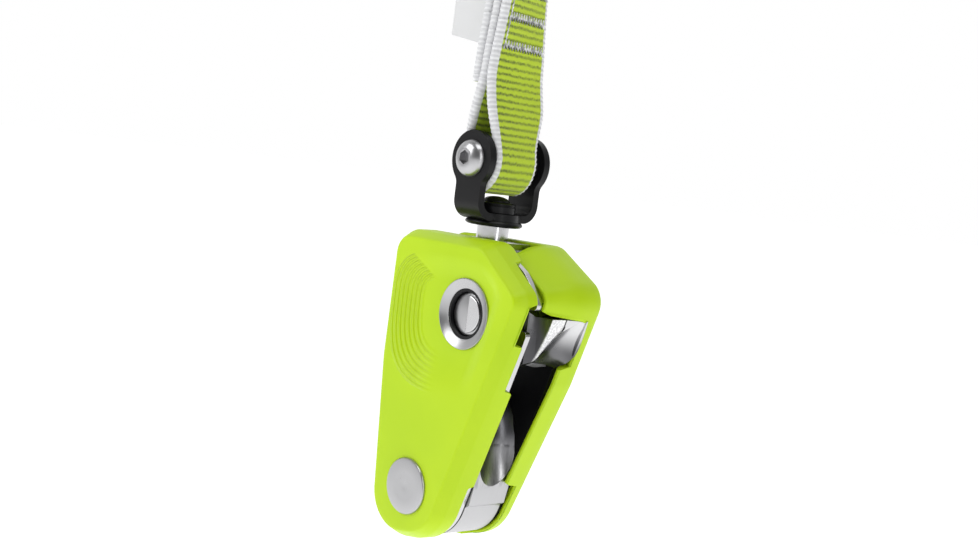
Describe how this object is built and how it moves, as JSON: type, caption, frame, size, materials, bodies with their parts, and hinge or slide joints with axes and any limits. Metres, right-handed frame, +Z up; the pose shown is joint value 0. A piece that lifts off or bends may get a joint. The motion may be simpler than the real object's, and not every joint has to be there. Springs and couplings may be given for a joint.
{
  "type": "rope brake resistor",
  "caption": "Hinged rope brake resistor for climbing: two covered side plates around a grooved brake block, with a swivel fork and a sewn webbing sling.",
  "frame": {"origin": "centre of the sling's top eye, from which everything hangs", "axes": "+Z up along the hanging device, +X towards the rope side, +Y from the opening front half to the fixed rear half"},
  "size_m": [0.0661, 0.0367, 0.2205],
  "materials": {
    "cover_green": "moulded plastic, slight gloss",
    "webbing_green": "ribbed woven webbing with white selvedges",
    "label_white": "plain woven label",
    "thread_white": "zigzag bar-tacks",
    "black_steel": "satin black",
    "polished_steel": "fine polished",
    "satin_steel": "satin",
    "forged_alloy": "bead-blasted, bright edges",
    "screw_steel": "dark zinc",
    "bush_bronze": "oiled bronze",
    "sleeve_plastic": "hard black plastic"
  },
  "bodies": {
    "sling": {"sling": "webbing_green", "sling_label": "label_white", "sling_bar_tacks": "thread_white"},
    "fork": {"fork": "black_steel", "pin_screw": "polished_steel", "pin_nut": "polished_steel", "pin_sleeve": "sleeve_plastic", "swivel_collar": "black_steel", "swivel_flange": "black_steel"},
    "housing": {"swivel_shaft": "polished_steel", "swivel_dome": "black_steel", "shaft_nut": "satin_steel", "top_yoke": "forged_alloy", "rear_side_plate": "black_steel", "rear_cover": "cover_green", "rear_screw_top": "screw_steel", "rear_screw_mid": "screw_steel", "rear_screw_low": "screw_steel", "rope_guide": "forged_alloy", "brake_block": "forged_alloy", "pivot_rivet": "polished_steel", "pivot_washer": "satin_steel", "guide_pin_upper": "satin_steel", "guide_pin_lower": "satin_steel", "yoke_pin": "satin_steel", "latch_stud": "polished_steel"},
    "front_half": {"front_cover": "cover_green", "front_side_plate": "satin_steel", "latch_ring": "polished_steel", "latch_housing": "satin_steel", "pivot_bush": "bush_bronze", "front_screw_left": "screw_steel", "front_screw_low": "screw_steel"},
    "latch_button": {"latch_button": "polished_steel", "button_cap": "polished_steel", "button_clip": "screw_steel", "button_spring": "satin_steel"}
  },
  "joints": [
    {"name": "sling_pin", "type": "hinge", "parent": "sling", "child": "fork", "pos_m": [0, 0, -0.0832], "axis": [0, 1, 0], "range_deg": [-90, 90]},
    {"name": "swivel", "type": "hinge", "parent": "fork", "child": "housing", "pos_m": [0, 0, -0.1005], "axis": [0, 0, 1], "continuous": true},
    {"name": "front_half_opening", "type": "hinge", "parent": "housing", "child": "front_half", "pos_m": [-0.0048, -0.009, -0.1905], "axis": [0, -1, 0], "range_deg": [0, 100]},
    {"name": "latch_button_press", "type": "slide", "parent": "front_half", "child": "latch_button", "axis": [0, 1, 0], "range_m": [0, 0.003], "stiffness_N_per_m": 600, "springref_m": -0.003, "deforming": ["button_spring"]}
  ]
}
